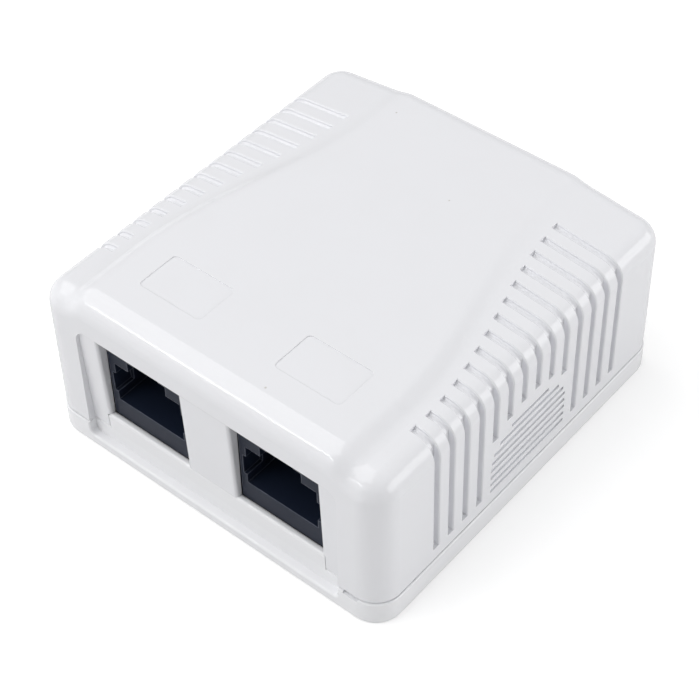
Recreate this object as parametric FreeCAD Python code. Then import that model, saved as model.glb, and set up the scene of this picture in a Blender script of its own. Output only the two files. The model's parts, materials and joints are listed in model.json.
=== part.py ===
"""Two-port surface mount jack box: a click-fit cover over a tray that carries two modular jacks.

Millimetres. The origin is the middle of the underside, +Z is up, and the jacks face -Y.
The housing is worked out from the inside outwards: the jacks and the terminal blocks set the board, the board
sets the tray, and the tray sets the cover.
"""
import FreeCAD, Part
import math
import os

V = FreeCAD.Vector
FAR = 90.0                 # longer than anything here, for cutting tools
PAST = 1.0                 # cutting tools run this much past a face

# Walls of the moulded housing
SEAM_Z = 4.0               # where the cover stands on the tray
DRAFT = math.radians(0.5)  # walls lean in towards the roof, so the cover leaves its mould
CORNER_R = 4.0             # upright corners of the cover
ROOF_EDGE_R = 3.3          # rounded edge between roof and walls
SIDE_WALL = 1.8
FRONT_WALL = 2.0
ROOF_WALL = 2.0
TRAY_FLOOR = 2.0
LIP_CLEARANCE = 0.35       # cover to the tray's locating rim
LIP_THICKNESS = 1.2
LIP_RISE = 2.0

# Circuit board
BOARD_BOTTOM_Z = 3.6
BOARD_THICKNESS = 1.6
BOARD_TOP_Z = BOARD_BOTTOM_Z + BOARD_THICKNESS
BOARD_CORNER_R = 1.0

# Modular jack: heights count from the board, depths from the nose's front
PORT_SPACING = 23.0
PORT_X = (-PORT_SPACING / 2, PORT_SPACING / 2)
JACK_SETBACK = 2.0         # nose behind the plane of the front wall
JACK_NOSE_LENGTH = 0.6     # step between the nose and the wider body
JACK_LENGTH = 15.9
JACK_NOSE_WIDTH = 13.9
JACK_BODY_WIDTH = 15.6
JACK_HEIGHT = 16.3
JACK_NOSE_RISE = 1.9       # underside of the nose
JACK_TOP_Z = BOARD_TOP_Z + JACK_HEIGHT
JACK_NOSE_LOW_Z = BOARD_TOP_Z + JACK_NOSE_RISE
SOCKET_WIDTH = 11.8
SOCKET_RISE = 5.1          # floor of the socket
SOCKET_HEIGHT = 6.9
SOCKET_DEPTH = 12.7
SOCKET_FLOOR_Z = BOARD_TOP_Z + SOCKET_RISE
SOCKET_TOP_Z = SOCKET_FLOOR_Z + SOCKET_HEIGHT
LATCH_WIDTH = 6.8          # step over the socket for the plug's latch
LATCH_HEIGHT = 1.7
LATCH_TOP_Z = SOCKET_TOP_Z + LATCH_HEIGHT
LATCH_SLOT_WIDTH = 4.3     # narrower step over that
LATCH_SLOT_HEIGHT = 1.2
LATCH_SLOT_DEPTH = 9.4
SIDE_NOTCH_RISE = 1.5      # notches in the socket's sides, from its floor
SIDE_NOTCH_HEIGHT = 3.5
SIDE_NOTCH_DEPTH = 0.55
SIDE_NOTCH_LENGTH = 3.0

# Punch-down terminal blocks, one on each side of each port, behind the jacks
BLOCK_WIDTH = 5.0
BLOCK_PROUD = 0.3          # block beyond the jack's side
BLOCK_OFFSET_X = JACK_BODY_WIDTH / 2 + BLOCK_PROUD - BLOCK_WIDTH / 2
BLOCK_GAP = 2.4            # behind the jack
BLOCK_PITCH = 4.2
BLOCK_SLOTS = 4
BLOCK_END = 1.6            # end posts are this much longer than half a pitch
BLOCK_HEIGHT = 10.2
BLOCK_SLOT_WIDTH = 1.5
BLOCK_SLOT_DEPTH = 6.4
BLOCK_POINT = 0.9          # bevel that guides the wire into the slot
BLOCK_LENGTH = 2 * BLOCK_END + BLOCK_SLOTS * BLOCK_PITCH
FORK_WIDTH = 3.2
FORK_THICKNESS = 0.5
FORK_HEIGHT = 8.4
FORK_SLIT = 0.4
FORK_SLIT_DEPTH = 4.5
FORK_ROOM = 0.15

# Depth of the housing, from the front wall's plane to the rear wall's
BOARD_REAR_MARGIN = 1.2    # board behind the blocks
BOARD_FRONT_GAP = 0.35     # board to the tray's wall
WIRING_DEPTH = 16.75       # room for the cables behind the board
REAR_STACK = LIP_THICKNESS + LIP_CLEARANCE + FRONT_WALL
DEPTH = (JACK_SETBACK + JACK_LENGTH + BLOCK_GAP + BLOCK_LENGTH + BOARD_REAR_MARGIN
         + WIRING_DEPTH + REAR_STACK)
HALF_DEPTH = DEPTH / 2     # 30.9 at the seam
RIM_HALF_Y = HALF_DEPTH - FRONT_WALL - LIP_CLEARANCE    # outer face of the locating rim
TRAY_HALF_Y = RIM_HALF_Y - LIP_THICKNESS                # inner face of the tray's wall
JACK_NOSE_FRONT_Y = -HALF_DEPTH + JACK_SETBACK
JACK_BODY_FRONT_Y = JACK_NOSE_FRONT_Y + JACK_NOSE_LENGTH
JACK_REAR_Y = JACK_NOSE_FRONT_Y + JACK_LENGTH
BLOCK_FRONT_Y = JACK_REAR_Y + BLOCK_GAP
BOARD_FRONT_Y = -TRAY_HALF_Y + BOARD_FRONT_GAP
BOARD_REAR_Y = BLOCK_FRONT_Y + BLOCK_LENGTH + BOARD_REAR_MARGIN

# Screws that hold the board on the tray's posts
SCREW_R = 1.1
SCREW_HOLE_GAP = 0.03      # screw to its pilot hole
SCREW_BOARD_GAP = 0.25     # screw to the board's hole
SCREW_HEAD_R = 2.1
SCREW_HEAD_HEIGHT = 1.5
SCREW_REACH = 2.4          # below the board
CROSS_LENGTH = 2.4
CROSS_WIDTH = 0.5
CROSS_DEPTH = 0.8
POST_R = 2.6
POST_GAP = 0.4             # screw head to the terminal block beside it
POST_FRONT_INSET = 7.0     # from the board's front edge
POST_REAR_INSET = 3.0      # from its rear edge

# Width of the housing, from the centre plane to a side wall
POST_X = PORT_SPACING / 2 + BLOCK_OFFSET_X + BLOCK_WIDTH / 2 + POST_GAP + SCREW_HEAD_R
BOARD_SIDE_MARGIN = 2.8    # board beyond the posts
BOARD_SIDE_GAP = 0.75      # board to the tray's wall
BOARD_HALF_WIDTH = POST_X + BOARD_SIDE_MARGIN
TRAY_HALF_X = BOARD_HALF_WIDTH + BOARD_SIDE_GAP
RIM_HALF_X = TRAY_HALF_X + LIP_THICKNESS
HALF_WIDTH = RIM_HALF_X + LIP_CLEARANCE + SIDE_WALL     # 29.0 at the seam
POST_PLACES = [(x, y) for x in (-POST_X, POST_X)
               for y in (BOARD_FRONT_Y + POST_FRONT_INSET, BOARD_REAR_Y - POST_REAR_INSET)]

# Roof: a raised middle whose soft edge swings inwards towards the rear, between two sloping wings
HEAD_ROOM = 4.5            # jacks to the underside of the roof
HEIGHT = JACK_TOP_Z + HEAD_ROOM + ROOF_WALL             # 28.0
WING_DROP = 2.0            # how far the wings have fallen at the side walls
WING_SLOPE = 0.114
GROOVE_REACH_FRONT = 4.05  # inner ends of the side grooves, from the side wall's plane
GROOVE_REACH_REAR = 11.15
SWING_CENTRE_Y = 2.2       # the edge swings in along a half sine wave about this place
SWING_HALF_LENGTH = 20.5
BAND_FOOT_GAP = 0.7        # foot of the soft edge to the groove ends
BAND_WIDTH = 3.8           # width of the soft edge
ROOF_SECTIONS = 11         # profiles that the roof is lofted through

# Side grooves, over the wing, round the roof's edge and down the wall
GROOVE_COUNT = 14
GROOVE_PITCH = 3.01
GROOVE_HALF_WIDTH = 0.5
GROOVE_DEPTH = 0.6         # on the roof
GROOVE_WALL_DEPTH = 1.1    # on the side wall; it fades out in the rounded edge
GROOVE_BEVEL = 0.25        # at its bottom
GROOVE_LIP = 0.15          # bevel along both lips
GROOVE_END_RISE = 2.3      # lower ends of the long grooves, above the seam

# Finger grip on each side: fine grooves under an arch
GRIP_RIBS = 8
GRIP_RIB_PITCH = 1.33
GRIP_RIB_HEIGHT = 0.6      # of each fine groove
GRIP_RIB_DEPTH = 0.45
GRIP_FIRST_RISE = 2.5      # lowest of them above the seam
GRIP_HALF_LENGTH = 8.15
GRIP_SPRING_RISE = 7.3     # the arch springs from here, above the seam
GRIP_ARCH_RISE = 5.2
GRIP_MARGIN = 1.9          # plain wall between the arch and the side grooves
GRIP_SPRING_Z = SEAM_Z + GRIP_SPRING_RISE

# Front: a shallow recess round the two jack windows
WINDOW_GAP = 0.27          # jack nose to the window's sides
WINDOW_TOP_GAP = 0.4
JAMB_EDGE_R = 0.5          # rounded upright edges of the windows
SILL_GAP = 0.25            # jack nose to the tongue below it
WINDOW_WIDTH = JACK_NOSE_WIDTH + 2 * WINDOW_GAP
WINDOW_TOP_Z = JACK_TOP_Z + WINDOW_TOP_GAP
SILL_Z = JACK_NOSE_LOW_Z - SILL_GAP
PORTS_HALF_WIDTH = (PORT_SPACING + WINDOW_WIDTH) / 2
RECESS_MARGIN = 3.38       # beside the windows
RECESS_TOP_MARGIN = 0.2
RECESS_HALF_WIDTH = PORTS_HALF_WIDTH + RECESS_MARGIN
RECESS_TOP_Z = WINDOW_TOP_Z + RECESS_TOP_MARGIN
RECESS_CORNER_R = 2.0
RECESS_DEPTH_LOW = 1.15    # at the seam
RECESS_DEPTH_HIGH = 0.4    # at its top edge
RECESS_FOOT_Z = 1.8        # ledge where it ends in the tray
RECESS_FOOT_R = 1.0
LEDGE_EDGE_R = 0.35
NOTCH_MARGIN = 0.53        # gap in the cover's wall that the tray's tongue fills, beside the windows
NOTCH_HALF_WIDTH = PORTS_HALF_WIDTH + NOTCH_MARGIN
TONGUE_CLEARANCE = 0.12
TONGUE_THICKNESS = 1.15
TONGUE_EDGE_R = 0.45

# Two shallow panels on the roof, one over each window
PANEL_WIDTH = 10.6
PANEL_LENGTH = 6.9
PANEL_INSET = 7.45         # from the front wall's plane
PANEL_DEPTH = 0.1
PANEL_CORNER_R = 0.7

# Tray
TRAY_PROUD = 0.15          # the tray stands this much proud of the cover
TRAY_EDGE_R = 0.5
TRAY_LIP_CHAMFER = 0.15
REVEAL_HEIGHT = 0.35       # rebate round the cover's lower edge, a fine dark line over the tray
REVEAL_DEPTH = 0.5
REVEAL_RECESS_DEPTH = 0.3  # inside the front recess, where the wall is thin
TRAY_CORNER_R = 1.2        # inner corners of the tray's wall and rim
BEAD_PROUD = 0.25          # click-fit beads on the rim
BEAD_LENGTH = 7.0
BEAD_SPACING = 26.0
BEAD_RISE = 1.1            # above the seam
PRY_SLOT_WIDTH = 2.4       # slot under the cover's edge for a screwdriver
PRY_SLOT_HEIGHT = 0.35
PRY_SLOT_DEPTH = 1.2
PRY_SLOT_GAP = 0.9         # beside the front recess

# Cable way at the rear
ENTRY_WIDTH = 13.0
ENTRY_TOP_Z = 13.0
ENTRY_CORNER_R = 3.0
TIE_BRIDGE_INSET = 7.9     # from the rear wall's plane
TIE_BRIDGE_SIZE = (9.0, 4.0, 4.2)
TIE_SLOT_RISE = 0.8        # slot for the cable tie, above the floor
TIE_SLOT_HEIGHT = 1.9
TIE_SLOT_WIDTH = 2.0

# Wall screws
WALL_HOLE_R = 2.1
WALL_HOLE_SPACING = 38.0
WALL_HOLE_INSET = 12.4     # from the rear wall's plane
WALL_BOSS_R = 4.8
WALL_BOSS_RISE = 1.2
WALL_SINK_R = 4.0

# Pad recesses in the underside
PAD_DEPTH = 0.3
PAD_SIZE = (42.0, 13.0)
PAD_Y = (-17.0, 3.0)
PAD_CORNER_R = 1.5

# Jack contacts: flat springs that lean up and back from the socket's floor
CONTACTS = 8
CONTACT_PITCH = 1.016
CONTACT_WIDTH = 0.45
CONTACT_THICKNESS = 0.35
CONTACT_BED_RISE = 3.7     # centre line of the run under the socket's floor, above the board
CONTACT_BEND_INSET = 8.3   # centre of the front bend, from the nose's front
CONTACT_BEND_R = 0.9
CONTACT_LEAN = math.radians(20.0)
CONTACT_TIP_INSET = 11.6
CONTACT_LEG_INSET = 12.1
CONTACT_LEG_BEND_R = 0.7
CONTACT_ROOM = 0.35        # free space round the springs in the housing
CONTACT_BED_Z = BOARD_TOP_Z + CONTACT_BED_RISE
CONTACT_BEND_Y = JACK_NOSE_FRONT_Y + CONTACT_BEND_INSET
CONTACT_TIP_Y = JACK_NOSE_FRONT_Y + CONTACT_TIP_INSET
CONTACT_LEG_Y = JACK_NOSE_FRONT_Y + CONTACT_LEG_INSET


def block(x0, x1, y0, y1, z0, z1):
    """A box between two corners."""
    return Part.makeBox(x1 - x0, y1 - y0, z1 - z0, V(x0, y0, z0))


def rounded_rectangle(half_x, half_y, radius, z, centre=(0.0, 0.0)):
    """A closed wire with four straight sides and four arcs."""
    cx, cy = centre
    arcs = []
    for turn, (sx, sy) in enumerate(((1, 1), (-1, 1), (-1, -1), (1, -1))):
        corner = V(cx + sx * (half_x - radius), cy + sy * (half_y - radius), z)
        arcs.append(Part.makeCircle(radius, corner, V(0, 0, 1), 90.0 * turn, 90.0 * (turn + 1)))
    edges = []
    for arc, following in zip(arcs, arcs[1:] + arcs[:1]):
        side = Part.makeLine(arc.lastVertex().Point, following.firstVertex().Point)
        edges += [arc, side]
    return Part.Wire(edges)


def plate(half_x, half_y, radius, z0, z1, centre=(0.0, 0.0)):
    """A slab with rounded upright corners."""
    outline = Part.Face(rounded_rectangle(half_x, half_y, radius, z0, centre))
    return outline.extrude(V(0, 0, z1 - z0))


def upright_panel(half_x, z0, z1, radius, y0, y1):
    """A slab that stands across Y, with rounded corners as seen from the front."""
    flat = plate(half_x, (z1 - z0) / 2, radius, -y1, -y0, (0.0, (z0 + z1) / 2))
    flat.rotate(V(0, 0, 0), V(1, 0, 0), 90.0)
    return flat


def prism_along_x(points, x0, x1):
    """A prism whose outline is given as (y, z) points."""
    wire = Part.makePolygon([V(x0, y, z) for y, z in points + points[:1]])
    return Part.Face(wire).extrude(V(x1 - x0, 0, 0))


def prism_along_y(points, y0, y1):
    """A prism whose outline is given as (x, z) points."""
    wire = Part.makePolygon([V(x, y0, z) for x, z in points + points[:1]])
    return Part.Face(wire).extrude(V(0, y1 - y0, 0))


def upright_rod(radius, x, y, z0, z1):
    """A cylinder along Z."""
    return Part.makeCylinder(radius, z1 - z0, V(x, y, z0))


def looks(face):
    """The direction that a face looks in at its middle."""
    u0, u1, v0, v1 = face.ParameterRange
    return face.normalAt((u0 + u1) / 2, (v0 + v1) / 2)


def wall_shift(z):
    """How far the drafted walls have leaned in at this height."""
    return (z - SEAM_Z) * math.tan(DRAFT)


def wing_z(x):
    """Height of the sloping wing at this distance from the centre plane."""
    return HEIGHT - WING_DROP + WING_SLOPE * (HALF_WIDTH - abs(x))


def groove_end_x(y):
    """Where the side grooves begin on the roof."""
    middle = (GROOVE_REACH_REAR + GROOVE_REACH_FRONT) / 2
    swing = (GROOVE_REACH_REAR - GROOVE_REACH_FRONT) / 2
    along = max(-1.0, min(1.0, (y - SWING_CENTRE_Y) / SWING_HALF_LENGTH))
    return HALF_WIDTH - middle - swing * math.sin(along * math.pi / 2)


def recess_y(z):
    """The face of the front recess, which lies deeper towards the seam."""
    low = -HALF_DEPTH + RECESS_DEPTH_LOW
    high = -HALF_DEPTH + wall_shift(RECESS_TOP_Z) + RECESS_DEPTH_HIGH
    return low + (high - low) * (z - SEAM_Z) / (RECESS_TOP_Z - SEAM_Z)


def grip_half_length(z):
    """Half the length of the finger grip at this height."""
    rise = max(0.0, z - GRIP_SPRING_Z) / GRIP_ARCH_RISE
    return GRIP_HALF_LENGTH * math.sqrt(max(0.0, 1.0 - rise * rise))


def roof_profile(y, sink):
    """Section of the housing at y: level middle, soft edges and wings, lowered by sink."""
    foot_x = groove_end_x(y) - BAND_FOOT_GAP
    brow_x = foot_x - BAND_WIDTH
    level = HEIGHT - sink
    foot_z = wing_z(foot_x) - sink
    far_z = foot_z - WING_SLOPE * (FAR - foot_x)
    pull = BAND_WIDTH / 2

    def soft_edge(side):
        curve = Part.BezierCurve()
        curve.setPoles([V(side * brow_x, y, level), V(side * (brow_x + pull), y, level),
                        V(side * (foot_x - pull), y, foot_z + WING_SLOPE * pull),
                        V(side * foot_x, y, foot_z)])
        return curve.toBSpline().toShape()

    outer = [V(foot_x, y, foot_z), V(FAR, y, far_z), V(FAR, y, -FAR),
             V(-FAR, y, -FAR), V(-FAR, y, far_z), V(-foot_x, y, foot_z)]
    edges = [Part.makeLine(V(-brow_x, y, level), V(brow_x, y, level)), soft_edge(1)]
    edges += [Part.makeLine(start, end) for start, end in zip(outer, outer[1:])]
    edges.append(soft_edge(-1))
    return Part.Wire(edges)


def under_roof(sink):
    """Everything below the roof surface."""
    reach = HALF_DEPTH + ROOF_EDGE_R
    stations = [-reach + 2 * reach * i / (ROOF_SECTIONS - 1) for i in range(ROOF_SECTIONS)]
    return Part.makeLoft([roof_profile(y, sink) for y in stations], True, False)


def housing_form(side, front, sink, low_z):
    """The cover's solid form, with its walls moved in by side and front and its roof by sink."""
    outlines = []
    for z in (low_z, HEIGHT + PAST):
        lean = wall_shift(z)
        radius = CORNER_R - min(side, front) - lean
        outlines.append(rounded_rectangle(HALF_WIDTH - side - lean, HALF_DEPTH - front - lean,
                                          radius, z))
    form = Part.makeLoft(outlines, True, True).common(under_roof(sink)).Solids[0]
    roof_edges = [e for f in form.Faces if looks(f).z > 0.5 for e in f.Edges]
    wall_edges = [e for f in form.Faces if abs(looks(f).z) < 0.1 for e in f.Edges]
    rim = [e for e in wall_edges if any(e.isSame(other) for other in roof_edges)]
    return form.makeFillet(ROOF_EDGE_R - sink, rim)


def side_groove(y, end_z):
    """A groove with bevelled lips that follows the wing, the roof's edge and the right wall."""
    start_x = groove_end_x(y)
    start = V(start_x, y, wing_z(start_x))
    along_wing = V(1, 0, -WING_SLOPE).normalize()
    down_wall = V(math.tan(DRAFT), 0, -1).normalize()
    foot = V(HALF_WIDTH - wall_shift(end_z), y, end_z)
    # The wing's line and the wall's line meet at the sharp corner that the rounded edge replaces
    gap = foot - start
    across = along_wing.x * down_wall.z - along_wing.z * down_wall.x
    corner = start + along_wing * ((gap.x * down_wall.z - gap.z * down_wall.x) / across)
    half_turn = along_wing.getAngle(down_wall) / 2
    cut_back = ROOF_EDGE_R * math.tan(half_turn)
    bend_start = corner - along_wing * cut_back
    bend_end = corner + down_wall * cut_back
    inward = (down_wall - along_wing).normalize()
    bend_middle = corner + inward * (ROOF_EDGE_R / math.cos(half_turn) - ROOF_EDGE_R)
    path = Part.Wire([Part.makeLine(start, bend_start),
                      Part.Arc(bend_start, bend_middle, bend_end).toShape(),
                      Part.makeLine(bend_end, foot)])
    # Half of the section, from its bottom up past the surface, as (across, height)
    half = GROOVE_HALF_WIDTH
    section = [(half - GROOVE_BEVEL, -GROOVE_DEPTH), (half, GROOVE_BEVEL - GROOVE_DEPTH),
               (half, -GROOVE_LIP), (half + PAST / 2, PAST / 2 - GROOVE_LIP)]
    section += [(-across_y, height) for across_y, height in reversed(section)]
    upright = V(WING_SLOPE, 0, 1).normalize()
    corners = [start + V(0, across_y, 0) + upright * height for across_y, height in section]
    channel = path.makePipeShell([Part.makePolygon(corners + corners[:1])], True, False)
    # The wall's own slot is deeper; its inner face stays parallel to the wall
    low = end_z + GROOVE_LIP
    inner = [(HALF_WIDTH - wall_shift(z) - GROOVE_WALL_DEPTH, z) for z in (low, HEIGHT)]
    slot = prism_along_y(inner + [(FAR, HEIGHT), (FAR, low)], y - half, y + half)
    return [channel, slot]


def side_grooves():
    """All grooves of both sides; those over the finger grip stop above its arch."""
    tools = []
    for i in range(GROOVE_COUNT):
        y = (i - (GROOVE_COUNT - 1) / 2) * GROOVE_PITCH
        reach = GRIP_HALF_LENGTH + GRIP_MARGIN
        end_z = SEAM_Z + GROOVE_END_RISE
        if abs(y) < reach:
            bow = math.sqrt(1.0 - (y / reach) ** 2)
            end_z = GRIP_SPRING_Z + (GRIP_ARCH_RISE + GRIP_MARGIN) * bow
        tools += side_groove(y, end_z)
    return tools + [tool.mirror(V(0, 0, 0), V(1, 0, 0)) for tool in tools]


def grip_ribs():
    """Fine level grooves of the finger grips."""
    tools = []
    for i in range(GRIP_RIBS):
        z = SEAM_Z + GRIP_FIRST_RISE + i * GRIP_RIB_PITCH
        half = grip_half_length(z)
        low = z - GRIP_RIB_HEIGHT / 2
        high = z + GRIP_RIB_HEIGHT / 2
        bottom = HALF_WIDTH - wall_shift(z) - GRIP_RIB_DEPTH
        for x0, x1 in ((-FAR, -bottom), (bottom, FAR)):
            tools.append(block(x0, x1, -half, half, low, high))
    return tools


def front_recess(z0):
    """Room in front of the recess face, from z0 up to the recess's top edge."""
    outline = upright_panel(RECESS_HALF_WIDTH, z0, RECESS_TOP_Z, RECESS_CORNER_R, -FAR, 0.0)
    wedge = prism_along_x([(-FAR, -FAR), (recess_y(-FAR), -FAR), (recess_y(FAR), FAR), (-FAR, FAR)],
                          -FAR, FAR)
    return outline.common(wedge)


def bead_seats():
    """Shallow seats inside the cover's side walls for the click-fit beads."""
    z = SEAM_Z + BEAD_RISE
    x = RIM_HALF_X + BEAD_PROUD
    half = BEAD_LENGTH / 2 + LIP_CLEARANCE
    seats = []
    for side in (-1, 1):
        for y in (-BEAD_SPACING / 2, BEAD_SPACING / 2):
            seats.append(Part.makeCylinder(2 * BEAD_PROUD, 2 * half, V(side * x, y - half, z), V(0, 1, 0)))
    return seats


def beside_window(point):
    """Whether a point lies on the recess face, at the side of a window."""
    off_face = abs(point.y - recess_y(point.z))
    off_side = min(abs(abs(point.x - x) - WINDOW_WIDTH / 2) for x in PORT_X)
    return off_face < 0.01 and off_side < 0.01


def cover():
    """The whole upper shell, moulded in one piece."""
    shell = housing_form(0.0, 0.0, 0.0, SEAM_Z)
    shell = shell.cut(housing_form(SIDE_WALL, FRONT_WALL, ROOF_WALL, SEAM_Z - PAST))
    wall_back = HALF_DEPTH - FRONT_WALL - PAST
    tools = [front_recess(SEAM_Z - RECESS_CORNER_R - PAST)]
    for x in PORT_X:
        half = WINDOW_WIDTH / 2
        tools.append(block(x - half, x + half, -FAR, -wall_back, SEAM_Z - PAST, WINDOW_TOP_Z))
    tools.append(block(-NOTCH_HALF_WIDTH, NOTCH_HALF_WIDTH, -FAR, -wall_back, SEAM_Z - PAST, SILL_Z))
    tools.append(upright_panel(ENTRY_WIDTH / 2, -ENTRY_TOP_Z, ENTRY_TOP_Z, ENTRY_CORNER_R, wall_back, FAR))
    panel_y = -HALF_DEPTH + PANEL_INSET + PANEL_LENGTH / 2
    for x in PORT_X:
        tools.append(plate(PANEL_WIDTH / 2, PANEL_LENGTH / 2, PANEL_CORNER_R,
                           HEIGHT - PANEL_DEPTH, HEIGHT + PAST, (x, panel_y)))
    tools += bead_seats()
    reveal_z = SEAM_Z + REVEAL_HEIGHT
    inside = plate(HALF_WIDTH - REVEAL_DEPTH, HALF_DEPTH - REVEAL_DEPTH, CORNER_R - REVEAL_DEPTH, 0.0, HEIGHT)
    tools.append(block(-FAR, FAR, -FAR, FAR, 0.0, reveal_z).cut(inside))
    tools.append(block(-RECESS_HALF_WIDTH, RECESS_HALF_WIDTH, -FAR, recess_y(SEAM_Z) + REVEAL_RECESS_DEPTH,
                       0.0, reveal_z))
    shell = shell.cut(tools)
    jambs = [e for e in shell.Edges if all(beside_window(v.Point) for v in e.Vertexes)
             and max(v.Z for v in e.Vertexes) - min(v.Z for v in e.Vertexes) > SILL_Z]
    shell = shell.makeFillet(JAMB_EDGE_R, jambs)
    return shell.cut(side_grooves() + grip_ribs())


def rim_of_tray():
    """Locating rim with its click-fit beads, open at the jacks and at the cable way."""
    top = SEAM_Z + LIP_RISE
    rim = plate(RIM_HALF_X, RIM_HALF_Y, CORNER_R - SIDE_WALL - LIP_CLEARANCE, TRAY_FLOOR, top)
    z = SEAM_Z + BEAD_RISE
    beads = []
    for side in (-1, 1):
        for y in (-BEAD_SPACING / 2, BEAD_SPACING / 2):
            foot = V(side * RIM_HALF_X, y - BEAD_LENGTH / 2, z)
            beads.append(Part.makeCylinder(BEAD_PROUD, BEAD_LENGTH, foot, V(0, 1, 0)))
    rim = rim.fuse(beads)
    front_gap = NOTCH_HALF_WIDTH + PAST
    gaps = [plate(TRAY_HALF_X, TRAY_HALF_Y, TRAY_CORNER_R, TRAY_FLOOR - PAST, top + PAST),
            block(-front_gap, front_gap, -FAR, -TRAY_HALF_Y + PAST, SEAM_Z, top + PAST)]
    return rim.cut(gaps)


def tongue():
    """Upright panel that fills the notch of the cover and makes the sill of both windows."""
    half = NOTCH_HALF_WIDTH - TONGUE_CLEARANCE
    low_y = recess_y(SEAM_Z)
    top_y = recess_y(SILL_Z)
    outline = [(low_y, TRAY_FLOOR), (low_y, SEAM_Z), (top_y, SILL_Z), (top_y + TONGUE_THICKNESS, SILL_Z),
               (top_y + TONGUE_THICKNESS, TRAY_FLOOR)]
    panel = prism_along_x(outline, -half, half)
    top_edges = [e for e in panel.Edges if min(v.Z for v in e.Vertexes) > SILL_Z - 0.01]
    return panel.makeFillet(TONGUE_EDGE_R, top_edges)


def tray_shell():
    """Floor and outer wall, with the rounded foot and the bevelled lip."""
    half_x = HALF_WIDTH + TRAY_PROUD
    half_y = HALF_DEPTH + TRAY_PROUD
    shell = plate(half_x, half_y, CORNER_R + TRAY_PROUD, 0.0, SEAM_Z)
    foot = [e for e in shell.Edges if max(v.Z for v in e.Vertexes) < 0.01]
    shell = shell.makeFillet(TRAY_EDGE_R, foot)
    lip = [e for e in shell.Edges if min(v.Z for v in e.Vertexes) > SEAM_Z - 0.01]
    shell = shell.makeChamfer(TRAY_LIP_CHAMFER, lip)
    return shell.cut(plate(TRAY_HALF_X, TRAY_HALF_Y, TRAY_CORNER_R, TRAY_FLOOR, SEAM_Z + PAST))


def tray():
    """The lower shell that is screwed or stuck to the wall."""
    shell = tray_shell()
    recess_face = recess_y(SEAM_Z)
    recess = upright_panel(RECESS_HALF_WIDTH, RECESS_FOOT_Z, RECESS_TOP_Z, RECESS_FOOT_R, -FAR,
                           recess_face)
    slot_x = RECESS_HALF_WIDTH + PRY_SLOT_GAP
    slot = block(slot_x, slot_x + PRY_SLOT_WIDTH, -FAR, -HALF_DEPTH + PRY_SLOT_DEPTH,
                 SEAM_Z - PRY_SLOT_HEIGHT, SEAM_Z + PAST)
    shell = shell.cut(recess)
    ledge = [e for e in shell.Edges if min(v.Z for v in e.Vertexes) > RECESS_FOOT_Z - 0.01
             and max(v.Z for v in e.Vertexes) < RECESS_FOOT_Z + 0.01
             and max(v.Y for v in e.Vertexes) < -HALF_DEPTH]
    shell = shell.makeFillet(LEDGE_EDGE_R, ledge)
    lip = [e for e in shell.Edges if min(v.Z for v in e.Vertexes) > SEAM_Z - 0.01
           and max(abs(v.Y - recess_face) for v in e.Vertexes) < 0.01]
    shell = shell.makeChamfer(TRAY_LIP_CHAMFER, lip).cut(slot)
    additions = [rim_of_tray(), tongue()]
    for x, y in POST_PLACES:
        additions.append(upright_rod(POST_R, x, y, TRAY_FLOOR / 2, BOARD_BOTTOM_Z))
    hole_y = HALF_DEPTH - WALL_HOLE_INSET
    hole_places = [(side * WALL_HOLE_SPACING / 2, hole_y) for side in (-1, 1)]
    for x, y in hole_places:
        additions.append(upright_rod(WALL_BOSS_R, x, y, TRAY_FLOOR / 2, TRAY_FLOOR + WALL_BOSS_RISE))
    length, depth, rise = TIE_BRIDGE_SIZE
    bridge_y = HALF_DEPTH - TIE_BRIDGE_INSET
    additions.append(block(-length / 2, length / 2, bridge_y - depth / 2, bridge_y + depth / 2,
                           TRAY_FLOOR / 2, TRAY_FLOOR + rise))
    shell = shell.fuse(additions)

    cuts = [block(-ENTRY_WIDTH / 2, ENTRY_WIDTH / 2, TRAY_HALF_Y - PAST, FAR, TRAY_FLOOR, FAR)]
    slot_low = TRAY_FLOOR + TIE_SLOT_RISE
    cuts.append(block(-length, length, bridge_y - TIE_SLOT_WIDTH / 2, bridge_y + TIE_SLOT_WIDTH / 2,
                      slot_low, slot_low + TIE_SLOT_HEIGHT))
    for x, y in POST_PLACES:
        cuts.append(upright_rod(SCREW_R + SCREW_HOLE_GAP, x, y,
                                BOARD_BOTTOM_Z - SCREW_REACH - 2 * SCREW_HOLE_GAP, FAR))
    boss_top = TRAY_FLOOR + WALL_BOSS_RISE
    for x, y in hole_places:
        cuts.append(upright_rod(WALL_HOLE_R, x, y, -PAST, boss_top + PAST))
        sink = WALL_SINK_R - WALL_HOLE_R
        cuts.append(Part.makeCone(WALL_HOLE_R, WALL_SINK_R, sink, V(x, y, boss_top - sink)))
    for y in PAD_Y:
        cuts.append(plate(PAD_SIZE[0] / 2, PAD_SIZE[1] / 2, PAD_CORNER_R, -PAST, PAD_DEPTH, (0.0, y)))
    return shell.cut(cuts).removeSplitter()


def circuit_board():
    """The board that carries both jacks and all terminal blocks."""
    middle_y = (BOARD_FRONT_Y + BOARD_REAR_Y) / 2
    board = plate(BOARD_HALF_WIDTH, (BOARD_REAR_Y - BOARD_FRONT_Y) / 2, BOARD_CORNER_R,
                  BOARD_BOTTOM_Z, BOARD_TOP_Z, (0.0, middle_y))
    holes = [upright_rod(SCREW_R + SCREW_BOARD_GAP, x, y, 0.0, FAR) for x, y in POST_PLACES]
    return board.cut(holes)


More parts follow.
